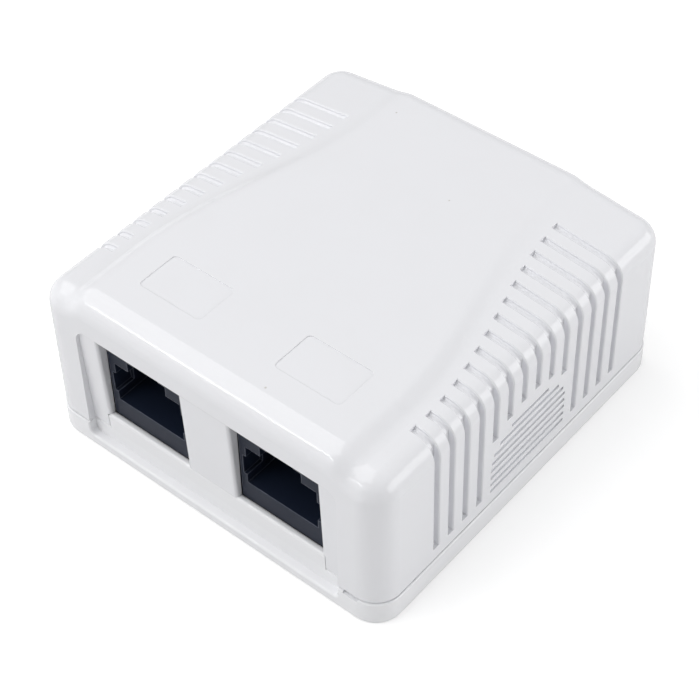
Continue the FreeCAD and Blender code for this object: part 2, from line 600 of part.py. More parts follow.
def board_screws():
    """Pan head screws with a cross recess, one in each post."""
    screws = []
    for x, y in POST_PLACES:
        shank = upright_rod(SCREW_R, x, y, BOARD_BOTTOM_Z - SCREW_REACH, BOARD_TOP_Z + SCREW_HEAD_HEIGHT / 2)
        head = upright_rod(SCREW_HEAD_R, x, y, BOARD_TOP_Z, BOARD_TOP_Z + SCREW_HEAD_HEIGHT)
        crown = [e for e in head.Edges if min(v.Z for v in e.Vertexes) > BOARD_TOP_Z]
        head = head.makeChamfer(SCREW_HEAD_HEIGHT / 3, crown)
        top = BOARD_TOP_Z + SCREW_HEAD_HEIGHT
        arm = CROSS_LENGTH / 2
        half = CROSS_WIDTH / 2
        cross = [block(x - arm, x + arm, y - half, y + half, top - CROSS_DEPTH, top + PAST),
                 block(x - half, x + half, y - arm, y + arm, top - CROSS_DEPTH, top + PAST)]
        screws.append(shank.fuse(head).cut(cross))
    return Part.makeCompound(screws)


def jack_housing(x):
    """One-piece jack body, with a narrower nose right behind the window."""

    def across(width, y0, y1, z0, z1):
        return block(x - width / 2, x + width / 2, y0, y1, z0, z1)

    front = JACK_NOSE_FRONT_Y
    nose = across(JACK_NOSE_WIDTH, front, JACK_BODY_FRONT_Y + PAST, JACK_NOSE_LOW_Z, JACK_TOP_Z)
    body = across(JACK_BODY_WIDTH, JACK_BODY_FRONT_Y, JACK_REAR_Y, BOARD_TOP_Z, JACK_TOP_Z)
    notch_low = SOCKET_FLOOR_Z + SIDE_NOTCH_RISE
    tools = [across(SOCKET_WIDTH, front - PAST, front + SOCKET_DEPTH, SOCKET_FLOOR_Z, SOCKET_TOP_Z),
             across(LATCH_WIDTH, front - PAST, front + SOCKET_DEPTH, SOCKET_TOP_Z - PAST, LATCH_TOP_Z),
             across(LATCH_SLOT_WIDTH, front - PAST, front + LATCH_SLOT_DEPTH, LATCH_TOP_Z - PAST,
                    LATCH_TOP_Z + LATCH_SLOT_HEIGHT),
             across(SOCKET_WIDTH + 2 * SIDE_NOTCH_DEPTH, front - PAST, front + SIDE_NOTCH_LENGTH,
                    notch_low, notch_low + SIDE_NOTCH_HEIGHT)]
    # Bed and leg slot of the contact springs
    bed_width = (CONTACTS - 1) * CONTACT_PITCH + CONTACT_WIDTH + 2 * CONTACT_ROOM
    below = CONTACT_THICKNESS / 2 + CONTACT_ROOM
    tools.append(across(bed_width, CONTACT_BEND_Y - CONTACT_BEND_R - below, CONTACT_LEG_Y + below,
                        CONTACT_BED_Z - below, SOCKET_FLOOR_Z + PAST))
    tools.append(across(bed_width, CONTACT_LEG_Y - below, CONTACT_LEG_Y + below, BOARD_TOP_Z - PAST,
                        CONTACT_BED_Z))
    return nose.fuse(body).cut(tools)


def jack_contact(x):
    """A flat spring: leg on the board, run under the socket's floor, front bend, sprung tail."""
    leg_top = CONTACT_BED_Z - CONTACT_LEG_BEND_R
    inset = CONTACT_LEG_BEND_R * (1.0 - math.sqrt(0.5))
    leg_bend = V(x, CONTACT_LEG_Y - inset, CONTACT_BED_Z - inset)
    run_start = V(x, CONTACT_LEG_Y - CONTACT_LEG_BEND_R, CONTACT_BED_Z)
    run_end = V(x, CONTACT_BEND_Y, CONTACT_BED_Z)
    centre_z = CONTACT_BED_Z + CONTACT_BEND_R
    nose = V(x, CONTACT_BEND_Y - CONTACT_BEND_R, centre_z)
    tail_y = CONTACT_BEND_Y - CONTACT_BEND_R * math.sin(CONTACT_LEAN)
    tail_start = V(x, tail_y, centre_z + CONTACT_BEND_R * math.cos(CONTACT_LEAN))
    rise = (CONTACT_TIP_Y - tail_y) * math.tan(CONTACT_LEAN)
    tip = V(x, CONTACT_TIP_Y, tail_start.z + rise)
    path = Part.Wire([Part.makeLine(V(x, CONTACT_LEG_Y, BOARD_TOP_Z), V(x, CONTACT_LEG_Y, leg_top)),
                      Part.Arc(V(x, CONTACT_LEG_Y, leg_top), leg_bend, run_start).toShape(),
                      Part.makeLine(run_start, run_end),
                      Part.Arc(run_end, nose, tail_start).toShape(),
                      Part.makeLine(tail_start, tip)])
    half_w = CONTACT_WIDTH / 2
    half_t = CONTACT_THICKNESS / 2
    corners = [V(x + sx * half_w, CONTACT_LEG_Y + sy * half_t, BOARD_TOP_Z)
               for sx, sy in ((-1, -1), (1, -1), (1, 1), (-1, 1), (-1, -1))]
    return path.makePipeShell([Part.makePolygon(corners)], True, False)


def slot_y(index):
    """Middle of a terminal block's slot."""
    return BLOCK_FRONT_Y + BLOCK_END + (index + 0.5) * BLOCK_PITCH


def terminal_block(x):
    """Row of pointed pillars; a wire is pushed down into each slot between them."""
    top = BOARD_TOP_Z + BLOCK_HEIGHT
    half = BLOCK_WIDTH / 2
    body = block(x - half, x + half, BLOCK_FRONT_Y, BLOCK_FRONT_Y + BLOCK_LENGTH, BOARD_TOP_Z, top)
    tools = []
    for i in range(BLOCK_SLOTS):
        y = slot_y(i)
        gap = BLOCK_SLOT_WIDTH / 2
        tools.append(block(x - FAR, x + FAR, y - gap, y + gap, top - BLOCK_SLOT_DEPTH, top + PAST))
        mouth = gap + BLOCK_POINT
        tools.append(prism_along_x([(y - mouth, top), (y, top - mouth), (y + mouth, top), (y, top + PAST)],
                                   x - FAR, x + FAR))
        room_x = FORK_THICKNESS / 2 + FORK_ROOM
        room_y = FORK_WIDTH / 2 + FORK_ROOM
        tools.append(block(x - room_x, x + room_x, y - room_y, y + room_y, BOARD_TOP_Z - PAST,
                           BOARD_TOP_Z + FORK_HEIGHT + FORK_ROOM))
    return body.cut(tools)


def terminal_fork(x, y):
    """Slit blade that bites through the wire's insulation."""
    top = BOARD_TOP_Z + FORK_HEIGHT
    half = FORK_WIDTH / 2
    slit = FORK_SLIT / 2
    low = top - FORK_SLIT_DEPTH
    flare = 2 * FORK_SLIT
    outline = [(y - half, BOARD_TOP_Z), (y + half, BOARD_TOP_Z), (y + half, top), (y + slit + flare, top),
               (y + slit, top - flare), (y + slit, low), (y - slit, low), (y - slit, top - flare),
               (y - slit - flare, top), (y - half, top)]
    return prism_along_x(outline, x - FORK_THICKNESS / 2, x + FORK_THICKNESS / 2)


def all_parts():
    """Every sub-part by its node name."""
    parts = {"cover": cover(), "base_tray": tray(), "circuit_board": circuit_board(),
             "board_screws": board_screws()}
    for port, x in zip(("left", "right"), PORT_X):
        parts[f"jack_housing_{port}"] = jack_housing(x)
        for i in range(CONTACTS):
            contact_x = x + (i - (CONTACTS - 1) / 2) * CONTACT_PITCH
            parts[f"jack_contact_{port}_{i + 1}"] = jack_contact(contact_x)
        for row, side in (("a", -1), ("b", 1)):
            block_x = x + side * BLOCK_OFFSET_X
            parts[f"terminal_block_{port}_{row}"] = terminal_block(block_x)
            for i in range(BLOCK_SLOTS):
                parts[f"terminal_fork_{port}_{row}{i + 1}"] = terminal_fork(block_x, slot_y(i))
    return parts


os.makedirs("parts", exist_ok=True)
for name, shape in all_parts().items():
    print(f"{name}: {len(shape.Solids)} solid, {shape.Volume:.2f} mm3, valid {shape.isValid()}")
    shape.exportStep(f"parts/{name}.step")
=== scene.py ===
# %% [markdown]
# # A white surface box for two network jacks
# The object is a small wall box: a glossy white cover with a raised roof and grooved sides stands on a
# low tray, and two black jacks look out of the front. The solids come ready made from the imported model.
# This lesson gives every surface its finish, makes the small repeated metal parts, and sets up light and
# camera. All places are in metres in the object's own frame: +Z is up, the jacks face -Y, the underside
# is at Z = 0.

# %% Load the frame
import json
import math

import bpy
from mathutils import Matrix, Vector


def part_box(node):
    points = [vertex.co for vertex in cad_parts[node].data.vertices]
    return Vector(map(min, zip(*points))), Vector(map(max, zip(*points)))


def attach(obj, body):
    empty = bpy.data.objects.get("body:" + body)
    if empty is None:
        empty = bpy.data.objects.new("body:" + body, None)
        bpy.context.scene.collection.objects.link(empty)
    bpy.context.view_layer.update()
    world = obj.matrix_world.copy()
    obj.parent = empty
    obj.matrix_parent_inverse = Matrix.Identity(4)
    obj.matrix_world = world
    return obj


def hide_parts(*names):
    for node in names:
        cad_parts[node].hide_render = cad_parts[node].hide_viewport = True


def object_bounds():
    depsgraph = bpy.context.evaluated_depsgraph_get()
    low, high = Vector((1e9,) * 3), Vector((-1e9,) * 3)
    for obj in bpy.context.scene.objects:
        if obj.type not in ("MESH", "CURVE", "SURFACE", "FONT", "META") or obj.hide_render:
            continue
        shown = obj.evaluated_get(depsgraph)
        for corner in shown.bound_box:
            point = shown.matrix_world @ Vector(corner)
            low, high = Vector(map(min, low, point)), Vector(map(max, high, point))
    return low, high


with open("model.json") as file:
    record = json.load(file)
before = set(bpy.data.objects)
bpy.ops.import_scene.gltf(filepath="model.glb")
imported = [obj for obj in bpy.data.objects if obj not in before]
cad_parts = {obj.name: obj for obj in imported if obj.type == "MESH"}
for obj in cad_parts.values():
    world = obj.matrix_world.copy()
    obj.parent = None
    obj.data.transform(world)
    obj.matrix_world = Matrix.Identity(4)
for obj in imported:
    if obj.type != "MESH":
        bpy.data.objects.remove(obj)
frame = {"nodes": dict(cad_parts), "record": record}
nodes = frame["nodes"]
cad_low, cad_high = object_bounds()
MM = 0.001
print("object in mm:", [round((high - low) / MM, 1) for low, high in zip(cad_low, cad_high)])

# %% [markdown]
# ## The camera
# The picture was taken from the front right, well above the box. The camera stands at a turn, a height
# angle and a slight lean of the horizon, which were worked out once by matching corners and grooves of
# the box with their places in the picture. A matrix would say the same, but angles are easier to read and
# change.

# %% Camera
IMAGE_SIZE = 700
FOCAL_PIXELS = 1836.1
SENSOR = 36.0
AZIMUTH = math.radians(40.551)
ELEVATION = math.radians(46.307)
LEAN = math.radians(-1.316)
CAMERA_DISTANCE = 260.49 * MM
ORIGIN_RIGHT = 1.19 * MM     # where the object's origin lies from the line of sight
ORIGIN_UP = -5.21 * MM
CLIP_FACTOR = 50.0           # how much nearer and further than the object the camera sees


def make_camera():
    flat = math.cos(ELEVATION)
    back = Vector((math.sin(AZIMUTH) * flat, -math.cos(AZIMUTH) * flat, math.sin(ELEVATION)))
    level = Vector((math.cos(AZIMUTH), math.sin(AZIMUTH), 0.0))
    upright = back.cross(level)
    right = math.cos(LEAN) * level + math.sin(LEAN) * upright
    up = math.cos(LEAN) * upright - math.sin(LEAN) * level
    camera = bpy.data.objects.new("photo_camera", bpy.data.cameras.new("photo_camera"))
    bpy.context.scene.collection.objects.link(camera)
    camera.data.sensor_width = SENSOR
    camera.data.lens = FOCAL_PIXELS / IMAGE_SIZE * SENSOR
    camera.data.clip_start = CAMERA_DISTANCE / CLIP_FACTOR
    camera.data.clip_end = CAMERA_DISTANCE * CLIP_FACTOR
    camera.rotation_mode = "QUATERNION"
    camera.rotation_quaternion = Matrix((right, up, back)).transposed().to_quaternion()
    camera.location = back * CAMERA_DISTANCE - right * ORIGIN_RIGHT - up * ORIGIN_UP
    bpy.context.scene.camera = camera
    return camera


camera = make_camera()
print("lens", round(camera.data.lens, 1), "mm at", [round(c, 3) for c in camera.location])

# %% [markdown]
# ## Short ways to write node trees
# Sky, finishes and repeated parts are all node trees. In the editor one draws links by hand; in a script
# each link and each number would be a line of its own. The helpers take them by the names that the
# sockets show in the editor, so that a node reads as one line with everything that goes into it. Nodes
# that show one name twice, such as the Math node, take their inputs in order.

# %% Node helpers


def feed(tree, socket, value):
    """Joins an input to another node's output, or sets it to a plain value."""
    if isinstance(value, bpy.types.NodeSocket):
        tree.links.new(value, socket)
    else:
        socket.default_value = value


def wire(tree, node, **inputs):
    """Feeds a node's inputs by their names; an underscore stands for a space."""
    for label, value in inputs.items():
        feed(tree, node.inputs[label.replace("_", " ")], value)
    return node


def add_node(tree, kind, **inputs):
    """A new node of a tree with its inputs wired."""
    return wire(tree, tree.nodes.new(kind), **inputs)


def math_node(tree, operation, *values, kind="ShaderNodeMath"):
    """A Math or Vector Math node whose inputs are fed in their order; gives the number it works out."""
    node = tree.nodes.new(kind)
    node.operation = operation
    for socket, value in zip(node.inputs, values):
        feed(tree, socket, value)
    return node.outputs["Value"]


def camera_only(tree):
    """One where the camera looks and nought for all other light."""
    return tree.nodes.new("ShaderNodeLightPath").outputs["Is Camera Ray"]


def tell(name, tree):
    """Prints what a cell has made."""
    print(name, "has", len(tree.nodes), "nodes")


# %% [markdown]
# ## Sky
# A white glossy thing needs light from all round, or its walls turn grey. A plain sky gives that even
# level. Where only the camera looks it is full white, so that the picture's ground is white without more
# light on the box. A picture of a real studio would give livelier reflections, but this box stands in
# plain light.

# %% Sky
SKY_LEVEL = 0.3
WHITE = (1.0, 1.0, 1.0, 1.0)


def make_sky():
    world = bpy.data.worlds.new("studio_sky")
    bpy.context.scene.world = world
    world.use_nodes = True
    tree = world.node_tree
    tree.nodes.clear()
    light = add_node(tree, "ShaderNodeBackground", Color=WHITE, Strength=SKY_LEVEL)
    white = add_node(tree, "ShaderNodeBackground", Color=WHITE)
    choose = add_node(tree, "ShaderNodeMixShader", Fac=camera_only(tree))
    tree.links.new(light.outputs["Background"], choose.inputs[1])
    tree.links.new(white.outputs["Background"], choose.inputs[2])
    add_node(tree, "ShaderNodeOutputWorld", Surface=choose.outputs["Shader"])
    return world


tell("sky", make_sky().node_tree)

# %% [markdown]
# ## Floor
# The box stands on a pale table that throws light up on its walls. One wide square does for it. A little
# glow that only the camera sees lifts it to white, and the soft shadow round the box stays.

# %% Floor
FLOOR_REACH = 4.0
FLOOR_DROP = 0.02 * MM       # keeps the floor clear of the underside
FLOOR_ALBEDO = 0.80
FLOOR_LIFT = 0.38


def make_floor():
    signs = ((-1, -1), (1, -1), (1, 1), (-1, 1))
    mesh = bpy.data.meshes.new("floor")
    corners = [(x * FLOOR_REACH, y * FLOOR_REACH, -FLOOR_DROP) for x, y in signs]
    mesh.from_pydata(corners, [], [(0, 1, 2, 3)])
    floor = bpy.data.objects.new("floor", mesh)
    bpy.context.scene.collection.objects.link(floor)
    material = bpy.data.materials.new("pale_floor")
    material.use_nodes = True
    tree = material.node_tree
    tree.nodes.clear()
    matt = add_node(tree, "ShaderNodeBsdfDiffuse", Color=(FLOOR_ALBEDO, FLOOR_ALBEDO, FLOOR_ALBEDO, 1.0))
    glow = math_node(tree, "MULTIPLY", camera_only(tree), FLOOR_LIFT)
    lift = add_node(tree, "ShaderNodeEmission", Strength=glow)
    both = tree.nodes.new("ShaderNodeAddShader")
    tree.links.new(matt.outputs[0], both.inputs[0])
    tree.links.new(lift.outputs[0], both.inputs[1])
    add_node(tree, "ShaderNodeOutputMaterial", Surface=both.outputs["Shader"])
    floor.data.materials.append(material)
    return floor


print(make_floor().name, "reaches", FLOOR_REACH, "m each way")

# %% [markdown]
# ## Lamps
# A large soft box above lights the roof, a wide low one lights the front and another the grooved wall.
# Small lamps would draw hard highlights on the gloss, and these draw none. Only a narrow strip is meant
# to be seen: it draws the thin bright line along the front edge of the roof. The narrower the lamp, the
# thinner its mirror image on a rounded edge.

# %% Lamps


def soft_box(name, towards, distance, width, height, watts):
    """A rectangular lamp that looks at the object's middle."""
    lamp = bpy.data.lights.new(name, "AREA")
    lamp.shape = "RECTANGLE"
    lamp.size = width
    lamp.size_y = height
    lamp.energy = watts
    box = bpy.data.objects.new(name, lamp)
    bpy.context.scene.collection.objects.link(box)
    towards = Vector(towards).normalized()
    box.location = (cad_low + cad_high) / 2 + towards * distance
    box.rotation_mode = "QUATERNION"
    box.rotation_quaternion = towards.to_track_quat("Z", "Y")
    print(name, watts, "W at", [round(c, 2) for c in box.location])


soft_box("soft_box_strip", towards=(-0.36, -0.78, 0.52), distance=0.70, width=0.40, height=0.03,
         watts=0.40)
soft_box("soft_box_front_left", towards=(-0.50, -0.75, 0.38), distance=0.70, width=0.90, height=0.40,
         watts=0.70)
soft_box("soft_box_rear_right", towards=(0.80, 0.48, 0.27), distance=0.70, width=0.90, height=0.36,
         watts=2.65)
soft_box("soft_box_above_left", towards=(-0.50, -0.22, 1.0), distance=0.90, width=1.20, height=1.10,
         watts=7.15)

# %% [markdown]
# ## Shared surface effects
# Moulded plastic is never perfectly smooth or perfectly clean. Several small effects serve several
# materials, so each is a node group that is built once: the fine grain left by the mould, softened edges,
# light rubbing on the corners, which on the jacks also paints a lighter edge as a highlight, settled dust
# and single flecks. A group only puts out colours, masks and normals; the shader itself stays in the
# material, where the exporter can read it.

# %% Helpers for the groups
FLOAT = "NodeSocketFloat"
VECTOR = "NodeSocketVector"
VECTOR_MATH = "ShaderNodeVectorMath"


def new_group(name, inputs, outputs, kind="ShaderNodeTree"):
    """An empty group with named sockets: name to (type, default) for inputs, name to type for outputs."""
    group = bpy.data.node_groups.new(name, kind)
    for label, (socket_type, value) in inputs.items():
        socket = group.interface.new_socket(label, in_out="INPUT", socket_type=socket_type)
        if value is not None:
            socket.default_value = value
    for label, socket_type in outputs.items():
        group.interface.new_socket(label, in_out="OUTPUT", socket_type=socket_type)
    return group, group.nodes.new("NodeGroupInput"), group.nodes.new("NodeGroupOutput")


def object_place(tree):
    """Where a spot lies on the object, so that patterns stay put on the surface."""
    return tree.nodes.new("ShaderNodeTexCoord").outputs["Object"]


def true_normal(tree):
    """The direction that the surface itself faces."""
    return tree.nodes.new("ShaderNodeNewGeometry").outputs["Normal"]


def rounded_normal(tree, radius, samples):
    """The direction it would face if its edges were rounded to a radius."""
    bevel = add_node(tree, "ShaderNodeBevel", Radius=radius)
    bevel.samples = samples
    return bevel.outputs["Normal"]


def noise(tree, per_metre, detail=2.0):
    """Cloudy noise; more detail adds finer clouds to it."""
    return add_node(tree, "ShaderNodeTexNoise", Vector=object_place(tree), Scale=per_metre,
                    Detail=detail).outputs["Fac"]


def smooth_step(tree, value, low, high):
    """Nought below low and one above high, with a soft start and end."""
    step = add_node(tree, "ShaderNodeMapRange", Value=value, From_Min=low, From_Max=high)
    step.interpolation_type = "SMOOTHSTEP"
    return step.outputs["Result"]


# %% [markdown]
# ### Mould grain
# A polished mould still leaves a faint unevenness, which breaks up reflections a little. As real dents it
# would take millions of faces, so a noise at the scale of a fraction of a millimetre drives a Bump node.
# The Bevel node hands it the normal of a slightly rounded corner, so that the sharp edges of the solid
# catch light as moulded ones do. A second, much larger noise is the unevenness that later changes the
# gloss.

# %% Mould grain group
DRIFT_PER_METRE = 60.0
GRAIN_HEIGHT = 0.02 * MM
EDGE_SAMPLES = 16


def make_mould_grain():
    group, given, gives = new_group(
        "mould_grain",
        {"Grain per metre": (FLOAT, 2500.0), "Grain depth": (FLOAT, 0.1),
         "Edge radius": (FLOAT, 0.2 * MM)},
        {"Normal": VECTOR, "Unevenness": FLOAT})
    bump = add_node(
        group, "ShaderNodeBump", Strength=given.outputs["Grain depth"], Distance=GRAIN_HEIGHT,
        Height=noise(group, given.outputs["Grain per metre"], detail=3.0),
        Normal=rounded_normal(group, given.outputs["Edge radius"], EDGE_SAMPLES))
    wire(group, gives, Normal=bump.outputs["Normal"], Unevenness=noise(group, DRIFT_PER_METRE))
    return group


mould_grain = make_mould_grain()
tell("mould_grain", mould_grain)

# %% [markdown]
# ### Rubbed edges and painted edge highlights
# Handling polishes the corners of plastic and wears the plating of metal. One could paint that by hand,
# but a mask that is worked out follows every edge. It compares the true normal with the one that the
# Bevel node gives for a wider rounding: where they part, there is an edge. A noise breaks the mask up,
# because wear is never even. On the black jacks the same mask, at full amount, paints lighter edges as
# well: a painted highlight that stands in for the glint along their edges.

# %% Edge wear and painted highlight group
EDGE_MASK_SAMPLES = 8
EDGE_MASK_STARTS = 0.02            # how far the normals part where the edge tint starts and where it is full
EDGE_MASK_FULL = 0.2


def make_worn_and_highlit_edge():
    group, given, gives = new_group(
        "worn_and_highlit_edge",
        {"Reach": (FLOAT, 0.3 * MM), "Patches per metre": (FLOAT, 700.0), "Amount": (FLOAT, 0.5)},
        {"Mask": FLOAT})
    wide = rounded_normal(group, given.outputs["Reach"], EDGE_MASK_SAMPLES)
    agree = math_node(group, "DOT_PRODUCT", wide, true_normal(group), kind=VECTOR_MATH)
    edge = smooth_step(group, math_node(group, "SUBTRACT", 1.0, agree), EDGE_MASK_STARTS, EDGE_MASK_FULL)
    patches = noise(group, given.outputs["Patches per metre"], detail=4.0)
    broken = math_node(group, "MULTIPLY", edge, patches)
    wire(group, gives, Mask=math_node(group, "MULTIPLY", broken, given.outputs["Amount"]))
    return group


worn_and_highlit_edge = make_worn_and_highlit_edge()
tell("worn_and_highlit_edge", worn_and_highlit_edge)

# %% [markdown]
# ### Settled dust
# Dust lies on what looks upwards and gathers unevenly. Loose grains would be too many to model, so this
# is a mask as well: the upward part of the normal times a noise that is pushed towards its darkest and
# lightest values.

# %% Dust group
DUST_STARTS = 0.4            # noise values where the dust starts and where it is full
DUST_FULL = 0.7


def make_settled_dust():
    group, given, gives = new_group(
        "settled_dust",
        {"Clouds per metre": (FLOAT, 150.0), "Amount": (FLOAT, 0.2)},
        {"Mask": FLOAT})
    split = add_node(group, "ShaderNodeSeparateXYZ", Vector=true_normal(group))
    upward = math_node(group, "MAXIMUM", split.outputs["Z"], 0.0)
    clouds = noise(group, given.outputs["Clouds per metre"], detail=6.0)
    lying = math_node(group, "MULTIPLY", upward, smooth_step(group, clouds, DUST_STARTS, DUST_FULL))
    wire(group, gives, Mask=math_node(group, "MULTIPLY", lying, given.outputs["Amount"]))
    return group


settled_dust = make_settled_dust()
tell("settled_dust", settled_dust)

# %% [markdown]
# ### Flecks
# A few tiny faint flecks in the white plastic show in the picture. Each is one use of this group: the
# distance from a given place, broken up a little by noise, against a radius. That puts a fleck exactly
# where it is wanted, which a scatter of random spots can't do.

# %% Fleck group
FLECK_RAGGED_PER_METRE = 9000.0
FLECK_FULL = 0.9             # distance plus noise, in radii, where a fleck is full and where it has faded
FLECK_FADED = 1.5


def make_fleck():
    group, given, gives = new_group(
        "fleck", {"Place": (VECTOR, None), "Radius": (FLOAT, 0.1 * MM)}, {"Mask": FLOAT})
    apart = math_node(group, "DISTANCE", object_place(group), given.outputs["Place"], kind=VECTOR_MATH)
    share = math_node(group, "DIVIDE", apart, given.outputs["Radius"])
    edge = math_node(group, "ADD", share, noise(group, FLECK_RAGGED_PER_METRE))
    fade = add_node(group, "ShaderNodeMapRange", Value=edge, From_Min=FLECK_FULL, From_Max=FLECK_FADED,
                    To_Min=1.0, To_Max=0.0)
    wire(group, gives, Mask=fade.outputs["Result"])
    return group


fleck = make_fleck()
tell("fleck", fleck)

# %% [markdown]
# ## Finishes
# Each finish is one small function around the Principled shader. Numbers that are the same all over the
# surface sit on the shader itself; only what changes over the surface comes from the groups. The helpers
# below put one effect each into a finish, so that a finish reads as a list of what happened to the
# surface.

# %% Finish helpers
DUST_COLOUR = (0.60, 0.58, 0.55)
DRIFT_LOW = 0.3              # noise values that stand for the glossiest and the dullest spots
DRIFT_HIGH = 0.7
MIX_FACTOR = 0               # the sockets that a Mix node uses when it mixes colours
MIX_BELOW = 6
MIX_ABOVE = 7
MIX_RESULT = 2
finishes = {}


def new_finish(name, colour, metallic=0.0):
    """A node material with its Principled shader, ready for more nodes."""
    material = bpy.data.materials.new(name)
    material.use_nodes = True
    shader = material.node_tree.nodes["Principled BSDF"]
    shader.inputs["Base Color"].default_value = (*colour, 1.0)
    shader.inputs["Metallic"].default_value = metallic
    return material, shader


def use_group(material, group, **inputs):
    """Places a shared group in a material."""
    node = material.node_tree.nodes.new("ShaderNodeGroup")
    node.node_tree = group
    return wire(material.node_tree, node, **inputs)


def add_grain(material, shader, per_metre, depth, edge, gloss):
    """Grain in the shader's normal, and a roughness that drifts between the two values of gloss."""
    tree = material.node_tree
    grain = use_group(material, mould_grain, Grain_per_metre=per_metre, Grain_depth=depth,
                      Edge_radius=edge)
    drift = add_node(tree, "ShaderNodeMapRange", Value=grain.outputs["Unevenness"], From_Min=DRIFT_LOW,
                     From_Max=DRIFT_HIGH, To_Min=gloss[0], To_Max=gloss[1])
    wire(tree, shader, Roughness=drift.outputs["Result"], Normal=grain.outputs["Normal"])
    return grain


def tint(material, shader, mask, colour):
    """Mixes a colour over the shader's base colour by a mask, on top of earlier tints."""
    tree = material.node_tree
    base = shader.inputs["Base Color"]
    mix = tree.nodes.new("ShaderNodeMix")
    mix.data_type = "RGBA"
    below = base.links[0].from_socket if base.is_linked else base.default_value[:]
    feed(tree, mix.inputs[MIX_FACTOR], mask)
    feed(tree, mix.inputs[MIX_BELOW], below)
    feed(tree, mix.inputs[MIX_ABOVE], (*colour, 1.0))
    feed(tree, base, mix.outputs[MIX_RESULT])


def add_dust(material, shader, amount):
    dust = use_group(material, settled_dust, Amount=amount)
    tint(material, shader, dust.outputs["Mask"], DUST_COLOUR)


# Tints the edges by the mask: wear on metals and plastics, and a painted highlight on the jacks.
def add_edge_wear_and_highlight(material, shader, reach, amount, colour, patches=700.0):
    edge_wear_and_highlight = use_group(material, worn_and_highlit_edge, Reach=reach, Amount=amount, Patches_per_metre=patches)
    tint(material, shader, edge_wear_and_highlight.outputs["Mask"], colour)


def keep_finish(use, material):
    """Files a finish under what it is used for."""
    finishes[use] = material
    tell(material.name, material.node_tree)


# %% [markdown]
# ### White housing plastic
# The housing is glossy white with a slightly cool tone. The gloss drifts a little over the faces, the
# edges are softened, a trace of dust lies on what looks up, and four flecks sit where the picture shows
# them. The tray uses a lighter copy of the same white: the extra lightness is painted light that makes up
# for the shade on its low walls beside the floor. The crisp grooves need a small edge rounding and the
# shallow panels of the roof a wider one, so the place across the box chooses between the two.

# %% White plastic
COVER_WHITE = (0.835, 0.839, 0.866)
# Painted light: a lighter copy of the cover's white, making up for the shade on the tray's low walls.
TRAY_WHITE_PAINTED_LIGHTER = (0.885, 0.889, 0.908)
SHARP_EDGE = 0.05 * MM
SOFT_EDGE = 0.12 * MM
MIDDLE_HALF_WIDTH = 17.4 * MM
FLECK_TINT = (0.62, 0.60, 0.58)
FLECKS_MM = (                # place in X, Y and Z, and radius
    (-12.5, 24.2, 28.0, 0.18),
    (4.6, 14.1, 28.0, 0.16),
    (7.9, -26.8, 28.0, 0.22),
    (-21.5, -12.7, 27.0, 0.18))


def soften_middle(material, grain):
    """Wider edge rounding between the two groove fields, where the panels of the roof lie."""
    tree = material.node_tree
    split = add_node(tree, "ShaderNodeSeparateXYZ", Vector=object_place(tree))
    aside = math_node(tree, "ABSOLUTE", split.outputs["X"])
    middle = math_node(tree, "LESS_THAN", aside, MIDDLE_HALF_WIDTH)
    radius = math_node(tree, "MULTIPLY_ADD", middle, SOFT_EDGE - SHARP_EDGE, SHARP_EDGE)
    wire(tree, grain, Edge_radius=radius)


def white_plastic(name, colour):
    material, shader = new_finish(name, colour)
    grain = add_grain(material, shader, per_metre=1800.0, depth=0.12, edge=SHARP_EDGE, gloss=(0.10, 0.15))
    soften_middle(material, grain)
    add_dust(material, shader, amount=0.02)
    add_edge_wear_and_highlight(material, shader, reach=0.3 * MM, amount=0.25, colour=(0.90, 0.90, 0.90))
    for x, y, z, radius in FLECKS_MM:
        spot = use_group(material, fleck, Place=(x * MM, y * MM, z * MM), Radius=radius * MM)
        tint(material, shader, spot.outputs["Mask"], FLECK_TINT)
    return material


keep_finish("housing", white_plastic("white_cover_plastic", COVER_WHITE))
keep_finish("tray", white_plastic("white_tray_plastic_painted_lighter", TRAY_WHITE_PAINTED_LIGHTER))

# %% [markdown]
# ### Black jack plastic
# The jacks are moulded in a black, slightly blue plastic with a satin skin, duller than the housing. A
# lowered specular level keeps its faces dark in the white surroundings, where a darker colour alone would
# not. A lighter tint painted along the edges stands in for the highlight that they catch: a painted
# highlight, carried by the mask of worn and highlit edges.

# %% Black plastic


def black_plastic():
    material, shader = new_finish("black_jack_plastic", (0.011, 0.016, 0.032))
    shader.inputs["Specular IOR Level"].default_value = 0.17
    add_grain(material, shader, per_metre=3000.0, depth=0.2, edge=0.15 * MM, gloss=(0.32, 0.42))
    # Painted highlight: the full edge tint lightens every edge of the jack in place of the glint it
    # catches.
    add_edge_wear_and_highlight(material, shader, reach=0.3 * MM, amount=1.0, colour=(0.22, 0.24, 0.30))
    return material


keep_finish("jack", black_plastic())

# %% [markdown]
# ### Metals
# Gold plated springs, tinned blades, tinned copper rings and zinc plated screws. They are made alike and
# differ in colour and in how fine their scratches are, so one function serves all four. Wear thins a
# plating at the edges, and the nickel, copper or steel below tints them.

# %% Metals


def plated_metal(name, colour, below, per_metre, gloss):
    material, shader = new_finish(name, colour, metallic=1.0)
    add_grain(material, shader, per_metre, depth=0.3, edge=0.05 * MM, gloss=gloss)
    add_edge_wear_and_highlight(material, shader, reach=0.12 * MM, amount=0.6, colour=below, patches=2500.0)
    return material


